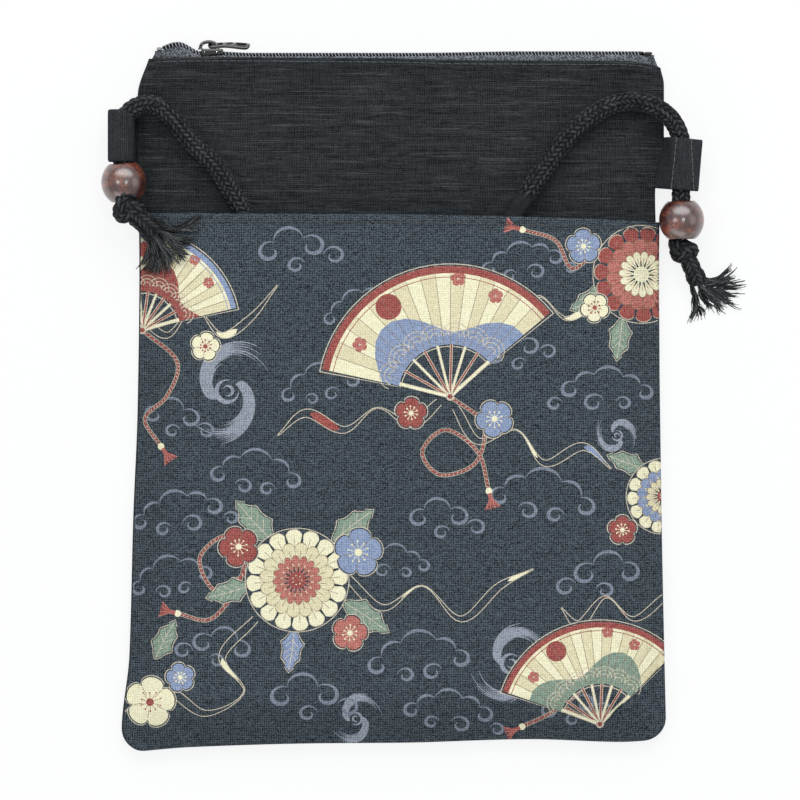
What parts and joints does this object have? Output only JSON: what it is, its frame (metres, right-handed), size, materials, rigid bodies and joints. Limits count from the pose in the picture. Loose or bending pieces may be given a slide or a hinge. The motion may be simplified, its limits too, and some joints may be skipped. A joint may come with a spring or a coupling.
{
  "type": "shoulder pochette",
  "caption": "Flat cloth shoulder pochette lying on its back, with a zip top, a printed patch pocket, side tabs and a braided strap ending in wooden beads, knots and tassels.",
  "frame": {"origin": "Middle of the bag's width and height on the flat outer face of the back panel, which rests on the floor.", "axes": "+Z out of the bag's front, +Y towards the zip, +X to the right as seen from the front."},
  "size_m": [0.2306, 0.2564, 0.0187],
  "materials": {
    "black_slub_cotton": "matt black cotton with horizontal slubs",
    "printed_cotton": "matt charcoal cotton with a coloured print",
    "zip_tape": "ribbed woven polyester",
    "zip_coil": "glossy black nylon coil",
    "zip_metal": "glossy black enamel on zinc",
    "tab_cotton": "matt black ribbed cotton",
    "strap_cotton": "matt black round braid",
    "bead_wood": "dark red-brown lacquer",
    "tassel_threads": "frayed black threads"
  },
  "bodies": {
    "bag": {"back_panel": "black_slub_cotton", "front_panel": "black_slub_cotton", "pocket_panel": "printed_cotton", "zip_tape_front": "zip_tape", "zip_tape_back": "zip_tape", "zip_teeth_front": "zip_coil", "zip_teeth_back": "zip_coil", "zip_top_stop_front": "zip_metal", "zip_top_stop_back": "zip_metal", "zip_bottom_stop": "zip_metal", "tab_left": "tab_cotton", "tab_right": "tab_cotton", "strap": "strap_cotton", "knot_left": "strap_cotton", "knot_right": "strap_cotton", "tassel_left": "tassel_threads", "tassel_right": "tassel_threads"},
    "slider": {"zip_slider": "zip_metal"},
    "pull": {"zip_pull": "zip_metal"},
    "bead_left": {"bead_left": "bead_wood"},
    "bead_right": {"bead_right": "bead_wood"}
  },
  "joints": [
    {"name": "slider_slide", "type": "slide", "parent": "bag", "child": "slider", "axis": [1, 0, 0], "range_m": [-0.012, 0.151], "deforming": ["zip_tape_front", "zip_tape_back", "zip_teeth_front", "zip_teeth_back"]},
    {"name": "pull_swing", "type": "hinge", "parent": "slider", "child": "pull", "pos_m": [-0.069, 0.1287, 0.0047], "axis": [0, 0, 1], "range_deg": [0, 150]},
    {"name": "bead_left_spin", "type": "hinge", "parent": "bag", "child": "bead_left", "pos_m": [-0.09947, 0.07916, 0.01083], "axis": [-0.0867, 0.9954, 0.0418], "continuous": true},
    {"name": "bead_right_spin", "type": "hinge", "parent": "bag", "child": "bead_right", "pos_m": [0.10151, 0.0656, 0.008], "axis": [0.0294, -0.9995, -0.0147], "continuous": true}
  ]
}
